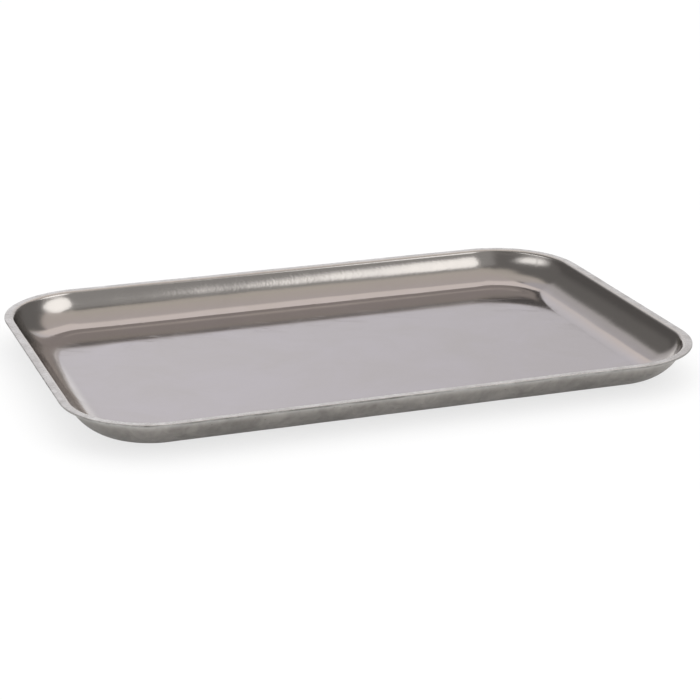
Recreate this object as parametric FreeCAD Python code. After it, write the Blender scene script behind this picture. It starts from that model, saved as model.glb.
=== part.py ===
import FreeCAD, Part
import math
import os

# Instrument tray: one blank of stainless sheet, drawn into a shallow pan with a flat
# turned-out rim. Millimetres. The origin is the centre of the base underside, +X runs
# along the long side and +Z is up.

# Driving dimensions
TRAY_LENGTH = 300.0      # along X, over the rim
TRAY_WIDTH = 200.0       # along Y, over the rim
INSIDE_DEPTH = 15.2      # from the floor up to the top of the rim
SHEET = 0.8              # thickness of the metal
CORNER_RADIUS = 41.5     # outer corner of the rim, seen from above
RIM_FLAT = 3.0           # flat part of the rim, in from the trimmed edge
RIM_BEND_RADIUS = 1.0    # bend from the rim down into the wall, on its inner, lower face
WALL_ANGLE = 70.0        # steepest slope of the wall, just under that bend, in degrees
EDGE_ROUND = 0.15        # rounding of the trimmed edge, above and below

# Sizes that follow: the wall is one arc, tangent to the floor and to the rim bend
WALL_SLOPE = math.radians(WALL_ANGLE)
RIM_CREST_RADIUS = RIM_BEND_RADIUS + SHEET
WALL_RADIUS = INSIDE_DEPTH / (1 - math.cos(WALL_SLOPE)) - RIM_CREST_RADIUS
FLOOR_INSET = RIM_FLAT + (RIM_CREST_RADIUS + WALL_RADIUS) * math.sin(WALL_SLOPE)
RIM_TOP = SHEET + INSIDE_DEPTH
RIM_UNDERSIDE = INSIDE_DEPTH
STRAIGHT_LENGTH = TRAY_LENGTH - 2 * CORNER_RADIUS
STRAIGHT_WIDTH = TRAY_WIDTH - 2 * CORNER_RADIUS

UP = FreeCAD.Vector(0, 0, 1)
ORIGIN = FreeCAD.Vector(0, 0, 0)


def section_point(out, height):
    """A point of the section, given its distance out from a corner's upright axis."""
    return FreeCAD.Vector(out, 0, height)


def section_arc(centre, radius, start, end):
    """An arc between two angles in radians, counted from straight out towards straight up."""
    def on_arc(angle):
        return centre + section_point(radius * math.cos(angle), radius * math.sin(angle))
    return Part.Arc(on_arc(start), on_arc((start + end) / 2), on_arc(end)).toShape()


def section_line(start, end):
    return Part.LineSegment(start, end).toShape()


def wall_section():
    """Upright cut through rim, bend and wall, in the XZ plane, from the floor's edge out."""
    floor_edge = CORNER_RADIUS - FLOOR_INSET
    rim_inner = CORNER_RADIUS - RIM_FLAT
    rim_outer = CORNER_RADIUS - EDGE_ROUND
    bend_centre = section_point(rim_inner, RIM_TOP - RIM_CREST_RADIUS)
    wall_centre = section_point(floor_edge, SHEET + WALL_RADIUS)
    upper_edge_centre = section_point(rim_outer, RIM_TOP - EDGE_ROUND)
    lower_edge_centre = section_point(rim_outer, RIM_UNDERSIDE + EDGE_ROUND)
    straight_up = math.pi / 2
    straight_down = -math.pi / 2
    edges = [
        # upper face, from the floor out to the trimmed edge
        section_arc(wall_centre, WALL_RADIUS, straight_down, straight_down + WALL_SLOPE),
        section_arc(bend_centre, RIM_CREST_RADIUS, straight_up + WALL_SLOPE, straight_up),
        section_line(section_point(rim_inner, RIM_TOP), section_point(rim_outer, RIM_TOP)),
        section_arc(upper_edge_centre, EDGE_ROUND, straight_up, 0),
        # trimmed edge
        section_line(section_point(CORNER_RADIUS, RIM_TOP - EDGE_ROUND),
                     section_point(CORNER_RADIUS, RIM_UNDERSIDE + EDGE_ROUND)),
        section_arc(lower_edge_centre, EDGE_ROUND, 0, straight_down),
        # lower face, back to the floor
        section_line(section_point(rim_outer, RIM_UNDERSIDE),
                     section_point(rim_inner, RIM_UNDERSIDE)),
        section_arc(bend_centre, RIM_BEND_RADIUS, straight_up, straight_up + WALL_SLOPE),
        section_arc(wall_centre, WALL_RADIUS + SHEET, straight_down + WALL_SLOPE, straight_down),
        section_line(section_point(floor_edge, 0), section_point(floor_edge, SHEET)),
    ]
    return Part.Face(Part.Wire(Part.__sortEdges__(edges)))


def walls():
    """Four straight walls and four corners, each from the same section."""
    section = wall_section()
    pieces = []
    corners = ((1, 1, STRAIGHT_WIDTH), (-1, 1, STRAIGHT_LENGTH),
               (-1, -1, STRAIGHT_WIDTH), (1, -1, STRAIGHT_LENGTH))
    for quarter, (side_x, side_y, straight) in enumerate(corners):
        face = section.copy()
        face.rotate(ORIGIN, UP, 90 * quarter)
        face.translate(FreeCAD.Vector(side_x * STRAIGHT_LENGTH / 2, side_y * STRAIGHT_WIDTH / 2, 0))
        axis = FreeCAD.Vector(side_x * STRAIGHT_LENGTH / 2, side_y * STRAIGHT_WIDTH / 2, 0)
        pieces.append(face.revolve(axis, UP, 90))
        # the straight wall that ends at this section runs back, clockwise seen from above
        along = FreeCAD.Vector(math.sin(math.pi / 2 * quarter), -math.cos(math.pi / 2 * quarter), 0)
        pieces.append(face.extrude(along * straight))
    return pieces


def floor():
    """Flat plate between the walls, with the walls' own inner corners."""
    length = TRAY_LENGTH - 2 * FLOOR_INSET
    width = TRAY_WIDTH - 2 * FLOOR_INSET
    plate = Part.makeBox(length, width, SHEET, FreeCAD.Vector(-length / 2, -width / 2, 0))
    upright = [edge for edge in plate.Edges if abs(edge.Vertexes[0].Z - edge.Vertexes[-1].Z) > SHEET / 2]
    return plate.makeFillet(CORNER_RADIUS - FLOOR_INSET, upright)


def tray():
    return floor().multiFuse(walls()).removeSplitter()


def main():
    os.makedirs("parts", exist_ok=True)
    solid = tray().Solids[0]
    solid.exportStep(os.path.join("parts", "tray.step"))
    box = solid.optimalBoundingBox()
    print("tray:", "valid" if solid.isValid() else "NOT VALID", len(solid.Faces), "faces")
    print("size %.3f x %.3f x %.3f mm, volume %.1f mm3" % (box.XLength, box.YLength, box.ZLength, solid.Volume))
    print("wall radius %.2f mm, floor %.2f mm in from the trimmed edge" % (WALL_RADIUS, FLOOR_INSET))


main()
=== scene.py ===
import math

import bmesh
import bpy
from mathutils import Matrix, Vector


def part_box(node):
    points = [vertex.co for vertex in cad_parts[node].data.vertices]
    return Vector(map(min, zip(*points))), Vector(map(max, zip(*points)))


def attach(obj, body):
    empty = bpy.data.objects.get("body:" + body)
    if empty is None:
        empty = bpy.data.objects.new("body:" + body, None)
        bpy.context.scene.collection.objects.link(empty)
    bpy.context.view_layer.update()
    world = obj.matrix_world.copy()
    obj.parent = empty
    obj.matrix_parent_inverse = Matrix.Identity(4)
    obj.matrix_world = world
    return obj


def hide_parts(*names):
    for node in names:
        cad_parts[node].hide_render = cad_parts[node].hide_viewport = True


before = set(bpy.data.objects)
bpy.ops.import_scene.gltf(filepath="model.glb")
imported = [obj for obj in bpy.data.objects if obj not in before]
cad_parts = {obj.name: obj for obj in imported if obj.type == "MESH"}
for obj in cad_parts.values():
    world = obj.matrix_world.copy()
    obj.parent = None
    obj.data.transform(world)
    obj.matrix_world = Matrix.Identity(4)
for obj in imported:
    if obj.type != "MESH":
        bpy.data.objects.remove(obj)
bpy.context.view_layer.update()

trayLow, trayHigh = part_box("tray")
print("stage: frame loaded, tray box", [round(v, 4) for v in (*trayLow, *trayHigh)])


# small helpers for modelling by hand

samePlace = 1e-5  # vertices closer than this, in metres, count as one


def near(a, b):
    return abs(a - b) < samePlace


def selectVerts(test):
    bpy.ops.mesh.select_all(action="DESELECT")
    mesh = bmesh.from_edit_mesh(bpy.context.edit_object.data)
    for v in mesh.verts:
        if test(v.co):
            v.select_set(True)
    mesh.select_flush(True)
    bmesh.update_edit_mesh(bpy.context.edit_object.data)


def extrudeSteps(direction, lengths):
    for length in lengths:
        move = Vector(direction) * length
        bpy.ops.mesh.extrude_region_move(TRANSFORM_OT_translate={"value": move})


def applyModifier(piece, kind, **settings):
    modifier = piece.modifiers.new(kind.title(), kind)
    for name, value in settings.items():
        setattr(modifier, name, value)
    bpy.ops.object.modifier_apply(modifier=modifier.name)


# camera at the viewing angle, with a long lens

cameraSizes = {
    "azimuth": math.radians(-19.36),
    "elevation": math.radians(19.0),
    "distance": 0.996,
    "aim": (-0.0089, -0.0009, 0.005),
    "lens": 107.5,
    "shiftX": 0.0357,
}


def addCamera():
    s = cameraSizes
    flat = math.cos(s["elevation"])
    back = Vector((math.sin(s["azimuth"]) * flat, -math.cos(s["azimuth"]) * flat,
                   math.sin(s["elevation"])))
    bpy.ops.object.camera_add(location=Vector(s["aim"]) + back * s["distance"],
                              rotation=(math.pi / 2 - s["elevation"], 0, s["azimuth"]))
    camera = bpy.context.object
    camera.name = "camera"
    camera.data.lens = s["lens"]
    camera.data.shift_x = s["shiftX"]
    bpy.context.scene.camera = camera


addCamera()
print("stage: camera placed")


# node helpers: an input is given as a plain value or as the socket that feeds it

def put(tree, kind, inputs=None, **settings):
    node = tree.nodes.new(kind)
    for name, value in settings.items():
        setattr(node, name, value)
    for name, value in (inputs or {}).items():
        if isinstance(value, bpy.types.NodeSocket):
            tree.links.new(value, node.inputs[name])
        else:
            node.inputs[name].default_value = value
    return node


def sumOf(tree, kind, *values):
    node = put(tree, "ShaderNodeMath", dict(enumerate(values)), operation=kind)
    return node.outputs[0]


def ramp(tree, value, fromLow, fromHigh, toLow=0.0, toHigh=1.0, smooth=False):
    inputs = {"Value": value, "From Min": fromLow, "From Max": fromHigh,
              "To Min": toLow, "To Max": toHigh}
    style = "SMOOTHSTEP" if smooth else "LINEAR"
    return put(tree, "ShaderNodeMapRange", inputs, interpolation_type=style).outputs["Result"]


def blendColour(tree, share, first, second, kind="MIX"):
    node = put(tree, "ShaderNodeMix", {0: share, 6: first, 7: second}, data_type="RGBA", blend_type=kind)
    return node.outputs[2]


# studio: a dim room with two rounded soft boxes, a warm ceiling and a pale wall beyond the tray

studio = {
    "room": (0.195, 0.187, 0.183, 1),
    "seenDirectly": (0.98, 0.98, 0.98, 1),
    # name, direction from +Y towards +X, half width, low, high, side and height softness, all in
    # degrees, then tilt and colour
    "walls": [
        ("nearWall", 172, 58, -30, 24, 14, 10, 0, (0.47, 0.45, 0.44, 1)),
        ("leftWall", -95, 32, -30, 30, 16, 14, 0, (0.27, 0.26, 0.255, 1)),
        ("lowDark", -42, 34, -30, 15, 10, 10, 0, (0.130, 0.123, 0.121, 1)),
        ("top", 0, 200, 74, 120, 12, 12, 0, (0.62, 0.575, 0.53, 1)),
        ("ceilingEdge", 155, 12, 67, 120, 8, 6, 0, (0.62, 0.575, 0.53, 1)),
        ("ceiling", 73, 73, 59, 120, 8, 5, 0, (0.65, 0.60, 0.55, 1)),
        ("sideWall", 64, 54, 40, 120, 8, 8, 0, (0.655, 0.597, 0.567, 1)),
        ("farCorner", -30, 30, 51, 120, 8, 8, -0.8, (0.65, 0.60, 0.56, 1)),
        ("farEdge", 7, 19, -30, 54, 8, 6, 0, (0.60, 0.574, 0.58, 1)),
        ("farWall", 24.5, 18, -30, 62, 5, 8, 0, (0.95, 0.865, 0.80, 1)),
        ("farWallLow", 21.5, 20, -30, 28, 5, 14, 0, (0.79, 0.768, 0.775, 1)),
        ("farMiddle", 10, 12, -30, 28, 20, 14, 0, (0.91, 0.888, 0.90, 1)),
        ("farWindow", 12, 16, -30, 12, 7, 7, 0, (1.12, 1.10, 1.10, 1)),
        ("boxGlow", 158, 32, 22, 62, 14, 8, 0, (0.38, 0.37, 0.365, 1)),
    ],
    # name, direction, half width, middle height and half height in degrees, softness, tilt, colour
    "boxes": [
        ("boxRight", 130.0, 26.5, 39.5, 16.5, 0.12, 0, (1.62, 1.59, 1.57, 1)),
        ("boxLeft", -98, 27, 34.5, 8.5, 0.45, -0.28, (1.5, 1.48, 1.47, 1)),
    ],
    "boxCorner": 2.6,  # 2 makes the soft boxes oval, and more makes them squarer
}


def lookingAt(tree, direction, towards, tilt):
    # degrees across from the given direction, and degrees above the horizon
    turned = put(tree, "ShaderNodeVectorRotate", {"Vector": direction, "Angle": math.radians(towards)},
                 rotation_type="Z_AXIS").outputs[0]
    axes = put(tree, "ShaderNodeSeparateXYZ", {0: turned}).outputs
    across = sumOf(tree, "DEGREES", sumOf(tree, "ARCTAN2", axes[0], axes[1]))
    rise = sumOf(tree, "DEGREES", sumOf(tree, "ARCSINE", axes[2]))
    return sumOf(tree, "ABSOLUTE", across), sumOf(tree, "MULTIPLY_ADD", across, -tilt, rise)


def addStudio():
    world = bpy.data.worlds.new("studio")
    bpy.context.scene.world = world
    world.use_nodes = True
    tree = world.node_tree
    direction = put(tree, "ShaderNodeTexCoord").outputs["Generated"]
    seen = put(tree, "ShaderNodeRGB").outputs[0]
    seen.default_value = studio["room"]
    for name, towards, half, low, high, sideSoft, heightSoft, tilt, colour in studio["walls"]:
        across, rise = lookingAt(tree, direction, towards, tilt)
        sides = ramp(tree, across, half - sideSoft / 2, half + sideSoft / 2, 1.0, 0.0, True)
        edge = heightSoft / 2
        bottom = ramp(tree, rise, low - edge, low + edge, smooth=True)
        top = ramp(tree, rise, high - edge, high + edge, 1.0, 0.0, True)
        mask = sumOf(tree, "MULTIPLY", sumOf(tree, "MULTIPLY", sides, bottom), top)
        seen = blendColour(tree, mask, seen, colour)
    power = studio["boxCorner"]
    for name, towards, half, middle, halfHeight, soft, tilt, colour in studio["boxes"]:
        across, rise = lookingAt(tree, direction, towards, tilt)
        wide = sumOf(tree, "POWER", sumOf(tree, "DIVIDE", across, half), power)
        off = sumOf(tree, "ABSOLUTE", sumOf(tree, "SUBTRACT", rise, middle))
        tall = sumOf(tree, "POWER", sumOf(tree, "DIVIDE", off, halfHeight), power)
        reach = sumOf(tree, "POWER", sumOf(tree, "ADD", wide, tall), 1 / power)
        seen = blendColour(tree, ramp(tree, reach, 1 - soft, 1 + soft, 1.0, 0.0, True), seen, colour)
    cameraRay = put(tree, "ShaderNodeLightPath").outputs["Is Camera Ray"]
    seen = blendColour(tree, cameraRay, seen, studio["seenDirectly"])
    tree.links.new(seen, tree.nodes["Background"].inputs["Color"])


addStudio()
bpy.context.scene.view_settings.view_transform = "Standard"


# pale floor and a broad light from above that only brightens it

floorSizes = {
    "side": 9.0,
    "cuts": 8,
    "drop": 0.00005,          # how far it lies under the tray's base
    "colour": (0.72, 0.732, 0.74, 1),
    "roughness": 0.9,
    "gloss": 0.1,
    "ownLight": 0.16,         # lifts the shadow under the tray
    "plain": (0.98, 0.98, 0.98, 1),
    "plainShare": 0.7,        # how much of what the camera sees is plain, the rest is lit and shadowed
    "lightHeight": 2.4,
    "lightSide": 6.5,
    "lightPower": 150.0,
}


def addFloor():
    s = floorSizes
    bpy.ops.object.select_all(action="DESELECT")
    bpy.ops.mesh.primitive_grid_add(x_subdivisions=s["cuts"], y_subdivisions=s["cuts"], size=s["side"],
                                    location=(0, 0, -s["drop"]))
    floor = bpy.context.object
    floor.name = "studio_floor"
    material = bpy.data.materials.new("paleFloor")
    material.use_nodes = True
    tree = material.node_tree
    shader = tree.nodes["Principled BSDF"]
    shader.inputs["Base Color"].default_value = s["colour"]
    shader.inputs["Roughness"].default_value = s["roughness"]
    shader.inputs["Specular IOR Level"].default_value = s["gloss"]
    shader.inputs["Emission Color"].default_value = (1, 1, 1, 1)
    shader.inputs["Emission Strength"].default_value = s["ownLight"]
    plain = put(tree, "ShaderNodeEmission", {"Color": s["plain"]}).outputs[0]
    cameraRay = put(tree, "ShaderNodeLightPath").outputs["Is Camera Ray"]
    share = sumOf(tree, "MULTIPLY", cameraRay, s["plainShare"])
    both = put(tree, "ShaderNodeMixShader", {0: share, 1: shader.outputs[0], 2: plain}).outputs[0]
    tree.links.new(both, tree.nodes["Material Output"].inputs["Surface"])
    floor.data.materials.append(material)
    bpy.ops.object.light_add(type="AREA", location=(0, 0, s["lightHeight"]))
    light = bpy.context.object
    light.name = "floor_light"
    light.data.size = s["lightSide"]
    light.data.energy = s["lightPower"]
    light.visible_glossy = False
    light.visible_camera = False


addFloor()
print("stage: studio lit")


# shared finishes, each one a node group that gives values between 0 and 1

def newGroup(name, inputs, outputs):
    group = bpy.data.node_groups.new(name, "ShaderNodeTree")
    for label, value in inputs.items():
        kind = "NodeSocketVector" if value is None else "NodeSocketFloat"
        socket = group.interface.new_socket(name=label, in_out="INPUT", socket_type=kind)
        if value is not None:
            socket.default_value = value
    for label in outputs:
        group.interface.new_socket(name=label, in_out="OUTPUT", socket_type="NodeSocketFloat")
    start = group.nodes.new("NodeGroupInput").outputs
    end = group.nodes.new("NodeGroupOutput").inputs
    return group, start, end


def noiseValue(tree, vector, detail=3.0, roughness=0.55, distortion=0.0):
    inputs = {"Vector": vector, "Scale": 1.0, "Detail": detail, "Roughness": roughness,
              "Distortion": distortion}
    return put(tree, "ShaderNodeTexNoise", inputs).outputs["Fac"]


def stretched(tree, vector, along, across, upright):
    scale = put(tree, "ShaderNodeCombineXYZ", {0: along, 1: across, 2: upright}).outputs[0]
    return put(tree, "ShaderNodeVectorMath", {0: vector, 1: scale}, operation="MULTIPLY").outputs[0]


def makeRollingGrain():
    # streaks along the sheet's rolling direction, which is the tray's length
    inputs = {"Vector": None, "Lines per m": 1500.0, "Stretch": 30.0}
    group, start, end = newGroup("rollingGrain", inputs, ["Value"])
    along = sumOf(group, "DIVIDE", start["Lines per m"], start["Stretch"])
    vector = stretched(group, start["Vector"], along, start["Lines per m"], start["Lines per m"])
    fine = noiseValue(group, vector, 4.0, 0.6)
    group.links.new(ramp(group, fine, 0.3, 0.7), end["Value"])
    return group


def makeHairScratches():
    # thin broken scratches in one direction, bent a little
    bendsPerM = 22.0
    bendAngle = 0.25  # radians
    lengthToWidth = 40.0
    breaksAlong = 35.0  # per metre
    breaksAcross = 90.0
    endFade = 0.08
    inputs = {"Vector": None, "Turn": 0.4, "Lines per m": 400.0, "Width": 0.02, "Share": 0.45}
    group, start, end = newGroup("hairScratches", inputs, ["Mask"])
    bend = noiseValue(group, stretched(group, start["Vector"], bendsPerM, bendsPerM, bendsPerM), 2.0)
    turn = sumOf(group, "MULTIPLY_ADD", bend, bendAngle, start["Turn"])
    turned = put(group, "ShaderNodeVectorRotate", {"Vector": start["Vector"], "Angle": turn},
                 rotation_type="Z_AXIS").outputs[0]
    long = sumOf(group, "DIVIDE", start["Lines per m"], lengthToWidth)
    line = noiseValue(group, stretched(group, turned, long, start["Lines per m"], long), 1.0)
    away = sumOf(group, "ABSOLUTE", sumOf(group, "SUBTRACT", line, 0.5))
    thin = ramp(group, away, 0.0, start["Width"], 1.0, 0.0)
    broken = noiseValue(group, stretched(group, turned, breaksAlong, breaksAcross, breaksAcross), 2.0)
    kept = ramp(group, broken, sumOf(group, "SUBTRACT", 1.0, start["Share"]),
                sumOf(group, "SUBTRACT", 1 + endFade, start["Share"]))
    group.links.new(sumOf(group, "MULTIPLY", thin, kept), end["Mask"])
    return group


def makeSmudges():
    # soft uneven patches from wiping and handling
    inputs = {"Vector": None, "Patches per m": 30.0, "Contrast": 0.5}
    group, start, end = newGroup("smudges", inputs, ["Value"])
    vector = stretched(group, start["Vector"], start["Patches per m"], start["Patches per m"],
                       start["Patches per m"])
    cloud = noiseValue(group, vector, 5.0, 0.6, 0.7)
    half = sumOf(group, "MULTIPLY", start["Contrast"], 0.5)
    group.links.new(ramp(group, cloud, sumOf(group, "SUBTRACT", 0.5, half), sumOf(group, "ADD", 0.5, half),
                         smooth=True), end["Value"])
    return group


def makeRimWear():
    # rubbed metal that grows from a given height up to the rim, broken up by noise; on the outer wall it
    # is also painted light, lighter towards the top
    patchDepth = 0.4  # how much of the rubbing the noise takes away where it is lowest
    inputs = {"Vector": None, "From Height": 0.0145, "Full Height": 0.016, "Patches per m": 260.0}
    group, start, end = newGroup("rimWear", inputs, ["Mask"])
    height = put(group, "ShaderNodeSeparateXYZ", {0: start["Vector"]}).outputs[2]
    rubbed = ramp(group, height, start["From Height"], start["Full Height"], smooth=True)
    vector = stretched(group, start["Vector"], start["Patches per m"], start["Patches per m"],
                       start["Patches per m"])
    patchy = ramp(group, noiseValue(group, vector, 4.0, 0.65), 0.35, 0.65)
    patchy = sumOf(group, "MULTIPLY_ADD", patchy, patchDepth, 1 - patchDepth)
    group.links.new(sumOf(group, "MULTIPLY", rubbed, patchy), end["Mask"])
    return group


def makeDrawMarks():
    # short streaks up and down the wall, left where the sheet slid over the die
    inputs = {"Vector": None, "Marks per m": 300.0, "Stretch": 5.0}
    group, start, end = newGroup("drawMarks", inputs, ["Value"])
    upright = sumOf(group, "DIVIDE", start["Marks per m"], start["Stretch"])
    vector = stretched(group, start["Vector"], start["Marks per m"], start["Marks per m"], upright)
    group.links.new(ramp(group, noiseValue(group, vector, 3.0, 0.6, 0.3), 0.25, 0.75), end["Value"])
    return group


def makePeel():
    # the fine pebbled surface that stretched sheet gets, full from a given height up
    inputs = {"Vector": None, "Bumps per m": 700.0, "From Height": 0.001, "Full Height": 0.004,
              "Floor Share": 0.15}
    group, start, end = newGroup("peel", inputs, ["Height"])
    vector = stretched(group, start["Vector"], start["Bumps per m"], start["Bumps per m"],
                       start["Bumps per m"])
    height = put(group, "ShaderNodeSeparateXYZ", {0: start["Vector"]}).outputs[2]
    share = ramp(group, height, start["From Height"], start["Full Height"], start["Floor Share"], 1.0)
    group.links.new(sumOf(group, "MULTIPLY", noiseValue(group, vector, 2.0, 0.5), share), end["Height"])
    return group


def makeSpecks():
    # small separate pits and dark marks
    inputs = {"Vector": None, "Specks per m": 500.0, "Size": 0.16, "Share": 0.3}
    group, start, end = newGroup("specks", inputs, ["Mask"])
    vector = stretched(group, start["Vector"], start["Specks per m"], start["Specks per m"],
                       start["Specks per m"])
    cells = put(group, "ShaderNodeTexVoronoi", {"Vector": vector, "Scale": 1.0}, feature="F1").outputs
    core = sumOf(group, "MULTIPLY", start["Size"], 0.5)
    dot = ramp(group, cells["Distance"], core, start["Size"], 1.0, 0.0)
    pick = put(group, "ShaderNodeSeparateColor", {0: cells["Color"]}).outputs[0]
    chosen = sumOf(group, "LESS_THAN", pick, start["Share"])
    group.links.new(sumOf(group, "MULTIPLY", dot, chosen), end["Mask"])
    return group


finishes = {
    "grain": makeRollingGrain(),
    "scratches": makeHairScratches(),
    "smudges": makeSmudges(),
    "rimWear": makeRimWear(),
    "specks": makeSpecks(),
    "drawMarks": makeDrawMarks(),
    "peel": makePeel(),
}


def useFinish(tree, name, vector, **values):
    node = tree.nodes.new("ShaderNodeGroup")
    node.node_tree = finishes[name]
    tree.links.new(vector, node.inputs["Vector"])
    for label, value in values.items():
        node.inputs[label.replace("_", " ")].default_value = value
    return node.outputs[0]


def newSteel(name, roughness):
    material = bpy.data.materials.new(name)
    material.use_nodes = True
    tree = material.node_tree
    shader = tree.nodes["Principled BSDF"]
    shader.inputs["Metallic"].default_value = 1.0
    shader.inputs["Roughness"].default_value = roughness
    place = put(tree, "ShaderNodeTexCoord").outputs["Object"]
    return material, tree, shader, place


def addBump(tree, shader, layers):
    # layers of (height, depth in metres), each bump standing on the one before
    normal = None
    for height, depth in layers:
        node = put(tree, "ShaderNodeBump", {"Height": height, "Strength": 1.0, "Distance": depth})
        if normal is not None:
            tree.links.new(normal, node.inputs["Normal"])
        normal = node.outputs[0]
    tree.links.new(normal, shader.inputs["Normal"])


innerLooks = {
    # painted reflection: the floor's steel carries a lilac tint and the wall's a warmer one, the colours
    # each part reflects, on one and the same sheet
    "floorSteelAndReflection": (0.567, 0.543, 0.568, 1),
    "wallSteelAndReflection": (0.565, 0.543, 0.518, 1),
    "dulled": (0.52, 0.498, 0.485, 1),
    "rubbed": (0.67, 0.66, 0.65, 1),
    "roughFloor": 0.05,
    "roughWall": 0.11,
    "roughVary": 0.05,
    "rimRoughness": 0.12,
    "cornerRoughness": 0.05,
    "cornerFrom": (0.104, 0.054),    # how far out the round corners begin
    "cornerRun": 0.02,
    "wallFrom": 0.0012,              # height where the floor's finish and painted reflection tint start to turn into the wall's
    "wallFull": 0.005,
    "smudgeShare": 0.5,
    "unevenSmudge": 0.6,
    "unevenGrain": 0.4,
    "scratchRoughness": 0.08,
    "tint": (0.85, 0.85, 0.85, 1),   # at grazing angles
    "grainDepth": 0.0000015,
    "markDepth": 0.000007,
    "peelDepth": 0.000018,
    "scratchDepth": 0.000004,
}


def innerSteelMaterial():
    # the bright side of the sheet: the floor, the inside of the wall and the top of the rim
    s = innerLooks
    material, tree, shader, place = newSteel("innerSteel", s["roughFloor"])
    grain = useFinish(tree, "grain", place, Lines_per_m=1800.0, Stretch=40.0)
    smudge = useFinish(tree, "smudges", place, Patches_per_m=26.0, Contrast=0.5)
    scratch = useFinish(tree, "scratches", place, Turn=0.35, Lines_per_m=420.0, Width=0.016, Share=0.5)
    crossed = useFinish(tree, "scratches", place, Turn=-1.1, Lines_per_m=300.0, Width=0.012, Share=0.42)
    wear = useFinish(tree, "rimWear", place, From_Height=0.0150, Full_Height=0.0159, Patches_per_m=300.0)
    marks = useFinish(tree, "drawMarks", place, Marks_per_m=420.0, Stretch=6.0)
    peel = useFinish(tree, "peel", place, Bumps_per_m=750.0, From_Height=s["wallFrom"],
                     Full_Height=s["wallFull"], Floor_Share=0.08)
    scratches = sumOf(tree, "MAXIMUM", scratch, crossed)
    spot = put(tree, "ShaderNodeSeparateXYZ", {0: place}).outputs
    wall = ramp(tree, spot[2], s["wallFrom"], s["wallFull"])
    fromX, fromY = s["cornerFrom"]
    endX = ramp(tree, sumOf(tree, "ABSOLUTE", spot[0]), fromX, fromX + s["cornerRun"])
    endY = ramp(tree, sumOf(tree, "ABSOLUTE", spot[1]), fromY, fromY + s["cornerRun"])
    corner = sumOf(tree, "MULTIPLY", sumOf(tree, "MULTIPLY", endX, endY), wall)
    # painted reflection: a lilac tint on the floor turning into a warm tint up the wall
    colour = blendColour(tree, wall, s["floorSteelAndReflection"], s["wallSteelAndReflection"])
    colour = blendColour(tree, sumOf(tree, "MULTIPLY", smudge, s["smudgeShare"]), colour, s["dulled"])
    colour = blendColour(tree, wear, colour, s["rubbed"])
    tree.links.new(colour, shader.inputs["Base Color"])
    uneven = sumOf(tree, "MULTIPLY_ADD", smudge, s["unevenSmudge"],
                   sumOf(tree, "MULTIPLY", grain, s["unevenGrain"]))
    rough = ramp(tree, wall, 0.0, 1.0, s["roughFloor"], s["roughWall"])
    rough = sumOf(tree, "MULTIPLY_ADD", uneven, s["roughVary"], rough)
    rough = sumOf(tree, "MULTIPLY_ADD", wear, s["rimRoughness"], rough)
    rough = sumOf(tree, "MULTIPLY_ADD", corner, s["cornerRoughness"], rough)
    rough = sumOf(tree, "MULTIPLY_ADD", scratches, s["scratchRoughness"], rough)
    tree.links.new(rough, shader.inputs["Roughness"])
    shader.inputs["Specular Tint"].default_value = s["tint"]
    addBump(tree, shader, [(peel, s["peelDepth"]), (sumOf(tree, "MULTIPLY", marks, wall), s["markDepth"]),
                           (grain, s["grainDepth"]), (scratches, -s["scratchDepth"])])
    return material


outerLooks = {
    "steel": (0.49, 0.463, 0.437, 1),
    "dulled": (0.21, 0.197, 0.182, 1),
    # rubbed metal near the rim; on the outer wall it is also painted light, making the wall lighter
    # towards its top
    "rubbed": (0.70, 0.685, 0.665, 1),
    "roughLow": 0.24,
    "roughHigh": 0.40,
    "grainDepth": 0.000006,
    "markDepth": 0.00003,
    "peelDepth": 0.00002,
    "scratchDepth": 0.000006,
    "speck": (0.16, 0.15, 0.13, 1),
    "baseMarks": 0.2,                # how much of the wall's die marks the flat base has
    "marksFrom": 0.0003,             # height where they start to grow, and where they are full
    "marksFull": 0.003,
    "baseBlotch": 0.5,               # and how much of its uneven dulling
    "blotchFrom": 0.0002,
    "blotchFull": 0.001,
    "blotchSmudge": 0.4,
    "blotchBroad": 0.25,
    "blotchMarks": 0.35,
    "wearAndPaintedLightShare": 0.75,
    "speckShare": 0.5,
    "unevenGrain": 0.5,
    "unevenBlotch": 0.5,
    "scratchRoughness": 0.1,
}


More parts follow.
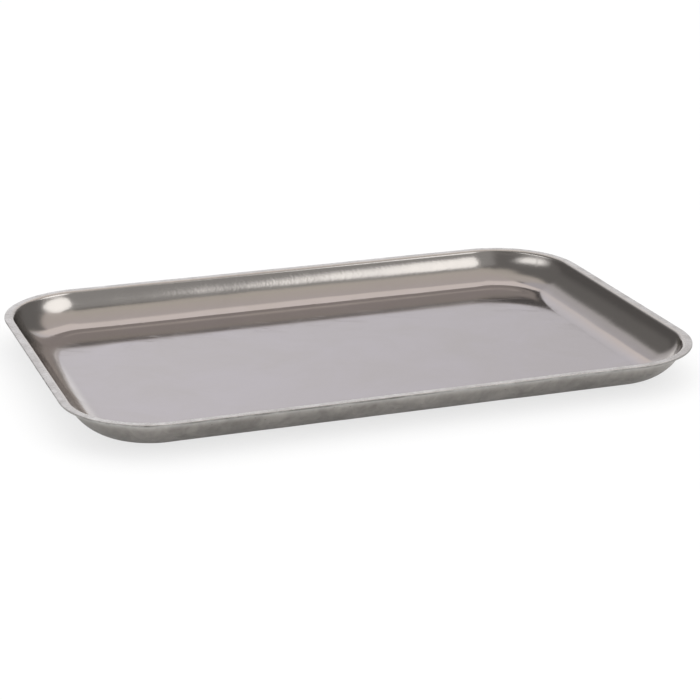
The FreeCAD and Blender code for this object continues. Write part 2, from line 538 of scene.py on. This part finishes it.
def outerSteelMaterial():
    # the satin side that slid over the die: the outside of the wall, the underside and under the rim
    s = outerLooks
    material, tree, shader, place = newSteel("outerSteel", s["roughLow"])
    grain = useFinish(tree, "grain", place, Lines_per_m=1200.0, Stretch=16.0)
    smudge = useFinish(tree, "smudges", place, Patches_per_m=90.0, Contrast=0.45)
    broad = useFinish(tree, "smudges", place, Patches_per_m=16.0, Contrast=0.5)
    marks = useFinish(tree, "drawMarks", place, Marks_per_m=260.0, Stretch=4.0)
    height = put(tree, "ShaderNodeSeparateXYZ", {0: place}).outputs[2]
    marksHere = ramp(tree, height, s["marksFrom"], s["marksFull"], s["baseMarks"], 1.0)
    marks = sumOf(tree, "MULTIPLY", marks, marksHere)
    peel = useFinish(tree, "peel", place, Bumps_per_m=600.0, From_Height=0.0, Full_Height=0.004,
                     Floor_Share=0.4)
    scratch = useFinish(tree, "scratches", place, Turn=0.1, Lines_per_m=500.0, Width=0.02, Share=0.5)
    speck = useFinish(tree, "specks", place, Specks_per_m=420.0, Size=0.2, Share=0.22)
    # partly rubbed wear and partly painted light: the outer wall turns lighter from 11 mm up to the rim
    wear = useFinish(tree, "rimWear", place, From_Height=0.0110, Full_Height=0.0154, Patches_per_m=180.0)
    blotch = sumOf(tree, "MULTIPLY_ADD", smudge, s["blotchSmudge"],
                   sumOf(tree, "MULTIPLY", broad, s["blotchBroad"]))
    blotch = sumOf(tree, "MULTIPLY_ADD", marks, s["blotchMarks"], blotch)
    blotchHere = ramp(tree, height, s["blotchFrom"], s["blotchFull"], s["baseBlotch"], 1.0)
    blotch = sumOf(tree, "MULTIPLY", blotch, blotchHere)
    colour = blendColour(tree, blotch, s["steel"], s["dulled"])
    colour = blendColour(tree, sumOf(tree, "MULTIPLY", wear, s["wearAndPaintedLightShare"]), colour, s["rubbed"])
    colour = blendColour(tree, sumOf(tree, "MULTIPLY", speck, s["speckShare"]), colour, s["speck"])
    tree.links.new(colour, shader.inputs["Base Color"])
    uneven = sumOf(tree, "MULTIPLY_ADD", grain, s["unevenGrain"],
                   sumOf(tree, "MULTIPLY", blotch, s["unevenBlotch"]))
    rough = ramp(tree, uneven, 0.0, 1.0, s["roughLow"], s["roughHigh"])
    rough = sumOf(tree, "MULTIPLY_ADD", scratch, s["scratchRoughness"], rough)
    tree.links.new(rough, shader.inputs["Roughness"])
    addBump(tree, shader, [(marks, s["markDepth"]), (peel, s["peelDepth"]), (grain, s["grainDepth"]),
                           (scratch, -s["scratchDepth"])])
    return material


rimLooks = {
    "steel": (0.76, 0.758, 0.755, 1),
    "dulled": (0.40, 0.397, 0.393, 1),
    "roughLow": 0.16,
    "roughHigh": 0.32,
    "peelDepth": 0.00003,
    "markDepth": 0.00001,
    "scratchDepth": 0.000006,
    "dirtMarks": 0.4,
    "dirtSmudge": 0.5,
    "speckShare": 0.8,
    "scratchRoughness": 0.1,
}


def rimSteelMaterial():
    # the flat of the rim, gripped by the press and rubbed in use, so duller and speckled
    s = rimLooks
    material, tree, shader, place = newSteel("rimSteel", s["roughLow"])
    smudge = useFinish(tree, "smudges", place, Patches_per_m=110.0, Contrast=0.5)
    peel = useFinish(tree, "peel", place, Bumps_per_m=900.0, From_Height=0.0, Full_Height=0.004,
                     Floor_Share=1.0)
    marks = useFinish(tree, "drawMarks", place, Marks_per_m=700.0, Stretch=1.5)
    scratch = useFinish(tree, "scratches", place, Turn=0.9, Lines_per_m=600.0, Width=0.03, Share=0.55)
    speck = useFinish(tree, "specks", place, Specks_per_m=700.0, Size=0.25, Share=0.2)
    dirt = sumOf(tree, "MULTIPLY_ADD", marks, s["dirtMarks"],
                 sumOf(tree, "MULTIPLY", smudge, s["dirtSmudge"]))
    dirt = sumOf(tree, "MAXIMUM", dirt, sumOf(tree, "MULTIPLY", speck, s["speckShare"]))
    tree.links.new(blendColour(tree, dirt, s["steel"], s["dulled"]), shader.inputs["Base Color"])
    rough = ramp(tree, smudge, 0.0, 1.0, s["roughLow"], s["roughHigh"])
    rough = sumOf(tree, "MULTIPLY_ADD", scratch, s["scratchRoughness"], rough)
    tree.links.new(rough, shader.inputs["Roughness"])
    addBump(tree, shader, [(peel, s["peelDepth"]), (marks, s["markDepth"]), (scratch, -s["scratchDepth"])])
    return material


edgeLooks = {
    "steel": (0.46, 0.452, 0.44, 1),
    "dirtAndShade": (0.17, 0.165, 0.155, 1),
    "nick": (0.045, 0.042, 0.038, 1),
    "roughLow": 0.3,
    "roughHigh": 0.5,
    "shearDepth": 0.00002,
}


def cutEdgeMaterial():
    # the trimmed edge of the rim, sheared, and darkened in patches that are partly dirt and partly painted
    # shade
    s = edgeLooks
    material, tree, shader, place = newSteel("cutEdge", s["roughLow"])
    shear = useFinish(tree, "grain", place, Lines_per_m=900.0, Stretch=1.5)
    smudge = useFinish(tree, "smudges", place, Patches_per_m=40.0, Contrast=0.4)
    nick = useFinish(tree, "specks", place, Specks_per_m=260.0, Size=0.34, Share=0.09)
    # partly dirt, partly painted shade: the dark patches also stand in for the shade along the edge under
    # the rim
    colour = blendColour(tree, smudge, s["steel"], s["dirtAndShade"])
    colour = blendColour(tree, nick, colour, s["nick"])
    tree.links.new(colour, shader.inputs["Base Color"])
    rough = ramp(tree, shear, 0.0, 1.0, s["roughLow"], s["roughHigh"])
    tree.links.new(rough, shader.inputs["Roughness"])
    addBump(tree, shader, [(shear, s["shearDepth"])])
    return material


print("stage: finishes ready")


# the pressed sheet

traySizes = {
    "sheet": 0.0008,          # thickness of the metal
    "cornerRadius": 0.0415,   # outer corner of the rim
    "rimFlat": 0.003,         # flat part of the rim
    "rimBend": 0.001,         # inner radius of the bend under the rim
    "wallSlope": math.radians(70),
    "edgeRound": 0.00015,     # rounding of the trimmed edge
    "edgeSegments": 3,
    "edgeAngle": math.radians(50),
    "floorRings": [0.14] * 6 + [0.08, 0.05, 0.03],  # widths of the floor's rings in a corner, in all 1
    "rimSteps": 3,
    "rimFacing": 0.9,         # a face that points up at least this much may be the rim's flat
    "wallSteps": 30,
    "bendSteps": 10,
    "cornerSteps": 45,
    "straightStep": 0.003,
    "dish": 0.00012,          # how far the floor rises from its middle to the wall
    "dishEnd": 0.0247,        # the floor's edge, in from the rim
    "dishRun": 0.060,         # the stretch of floor that rises
    "rippleRise": 0.002,      # height over the floor where the wall's ripples are full
    "ripples": [              # wave size, depth, share on the floor, share on the wall
        (0.034, 0.00023, 0.0, 1.0),
        (0.012, 0.00005, 0.0, 1.0),
    ],
}


def buildTray(materials):
    s = traySizes
    depth = trayHigh.z - s["sheet"]
    crest = s["rimBend"] + s["sheet"]
    wallRadius = depth / (1 - math.cos(s["wallSlope"])) - crest
    floorInset = s["rimFlat"] + (crest + wallRadius) * math.sin(s["wallSlope"])
    floorEdge = s["cornerRadius"] - floorInset
    rimInner = s["cornerRadius"] - s["rimFlat"]
    axis = Vector((trayHigh.x - s["cornerRadius"], trayHigh.y - s["cornerRadius"], 0))

    # one vertex on the corner's upright axis, at floor height, then the section outwards
    bpy.ops.object.select_all(action="DESELECT")
    bpy.ops.mesh.primitive_plane_add(size=crest, location=(axis.x, axis.y, s["sheet"]))
    piece = bpy.context.object
    piece.name = "tray_sheet"
    piece.data.name = "tray_sheet"
    for material in materials:
        piece.data.materials.append(material)
    bpy.ops.object.transform_apply(location=True, rotation=True, scale=True)
    bpy.ops.object.mode_set(mode="EDIT")
    bpy.ops.mesh.select_mode(type="VERT")
    bpy.ops.mesh.select_all(action="SELECT")
    bpy.ops.mesh.merge(type="CENTER")
    extrudeSteps((1, 0, 0), [floorEdge * share for share in s["floorRings"]])
    bpy.ops.mesh.spin(steps=s["wallSteps"], angle=s["wallSlope"], axis=(0, 1, 0),
                      center=(axis.x + floorEdge, axis.y, s["sheet"] + wallRadius))
    bpy.ops.mesh.spin(steps=s["bendSteps"], angle=s["wallSlope"], axis=(0, -1, 0),
                      center=(axis.x + rimInner, axis.y, trayHigh.z - crest))
    extrudeSteps((1, 0, 0), [s["rimFlat"] / s["rimSteps"]] * s["rimSteps"])

    # the section spun round the corner, then both ends drawn out to the middle of the tray
    bpy.ops.mesh.select_all(action="SELECT")
    bpy.ops.mesh.spin(steps=s["cornerSteps"], angle=math.pi / 2, axis=(0, 0, -1), center=axis)
    bpy.ops.mesh.select_all(action="SELECT")
    bpy.ops.mesh.remove_doubles(threshold=samePlace)
    stepsX = round(axis.x / s["straightStep"])
    stepsY = round(axis.y / s["straightStep"])
    selectVerts(lambda p: near(p.x, axis.x) and p.y > axis.y - samePlace)
    extrudeSteps((-1, 0, 0), [axis.x / stepsX] * stepsX)
    selectVerts(lambda p: near(p.y, axis.y) and p.x > axis.x - samePlace)
    extrudeSteps((0, -1, 0), [axis.y / stepsY] * stepsY)
    selectVerts(lambda p: near(p.x, axis.x) and p.y < axis.y + samePlace)
    extrudeSteps((-1, 0, 0), [axis.x / stepsX] * stepsX)
    bpy.ops.mesh.select_all(action="SELECT")
    bpy.ops.mesh.remove_doubles(threshold=samePlace)
    bpy.ops.object.mode_set(mode="OBJECT")
    applyModifier(piece, "MIRROR", use_axis=(True, True, False), merge_threshold=samePlace)

    bpy.ops.object.mode_set(mode="EDIT")
    bpy.ops.mesh.select_all(action="SELECT")
    bpy.ops.mesh.normals_make_consistent(inside=False)
    bpy.ops.object.mode_set(mode="OBJECT")
    if piece.data.polygons[0].normal.z < 0:
        piece.data.flip_normals()

    addDish(piece)
    addRipples(piece)

    # the metal's thickness below the upper face, and its trimmed edge rounded
    applyModifier(piece, "SOLIDIFY", thickness=s["sheet"], offset=-1, use_even_offset=True,
                  use_quality_normals=True, material_offset=1, material_offset_rim=2)
    applyModifier(piece, "BEVEL", width=s["edgeRound"], segments=s["edgeSegments"],
                  limit_method="ANGLE", angle_limit=s["edgeAngle"])
    bpy.ops.object.shade_smooth()
    # materials: 0 inside, 1 outside, 2 trimmed edge, 3 flat of the rim
    for face in piece.data.polygons:
        if face.normal.z > s["rimFacing"] and rimInset(face.center) < s["rimFlat"]:
            face.material_index = 3
    return piece


def rimInset(p):
    # distance in from the tray's outline, a rectangle with round corners
    radius = traySizes["cornerRadius"]
    pastX = abs(p.x) - trayHigh.x + radius
    pastY = abs(p.y) - trayHigh.y + radius
    return radius - math.hypot(max(pastX, 0), max(pastY, 0)) - min(max(pastX, pastY), 0)


def weightGroup(piece, name, weight):
    group = piece.vertex_groups.new(name=name)
    for v in piece.data.vertices:
        group.add([v.index], max(0.0, min(1.0, weight(v.co))), "REPLACE")
    return group


def addDish(piece):
    # the floor rises a little towards the walls, so only its middle stands on the table
    s = traySizes
    height = trayHigh.z - s["sheet"]

    def rise(p):
        along = max(0, min(1, (s["dishRun"] + s["dishEnd"] - rimInset(p)) / s["dishRun"]))
        return along ** 2 * (1 - (p.z - s["sheet"]) / height)

    weightGroup(piece, "dish", rise)
    applyModifier(piece, "DISPLACE", direction="Z", strength=s["dish"], mid_level=0, vertex_group="dish")
    piece.vertex_groups.clear()


def addRipples(piece):
    # slow waves left by the press on the wall and rim; the floor has its own share, none as it is set
    s = traySizes
    for size, depth, low, high in s["ripples"]:
        texture = bpy.data.textures.new("ripple", "CLOUDS")
        texture.noise_scale = size
        texture.noise_depth = 1
        weightGroup(piece, "ripple", lambda p: low + (high - low) * (p.z - s["sheet"]) / s["rippleRise"])
        applyModifier(piece, "DISPLACE", texture=texture, texture_coords="LOCAL", direction="NORMAL",
                      strength=depth, mid_level=0.5, vertex_group="ripple")
        piece.vertex_groups.clear()


tray = buildTray([innerSteelMaterial(), outerSteelMaterial(), cutEdgeMaterial(), rimSteelMaterial()])
print("stage: tray sheet has", len(tray.data.polygons), "faces")

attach(tray, "root")
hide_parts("tray")
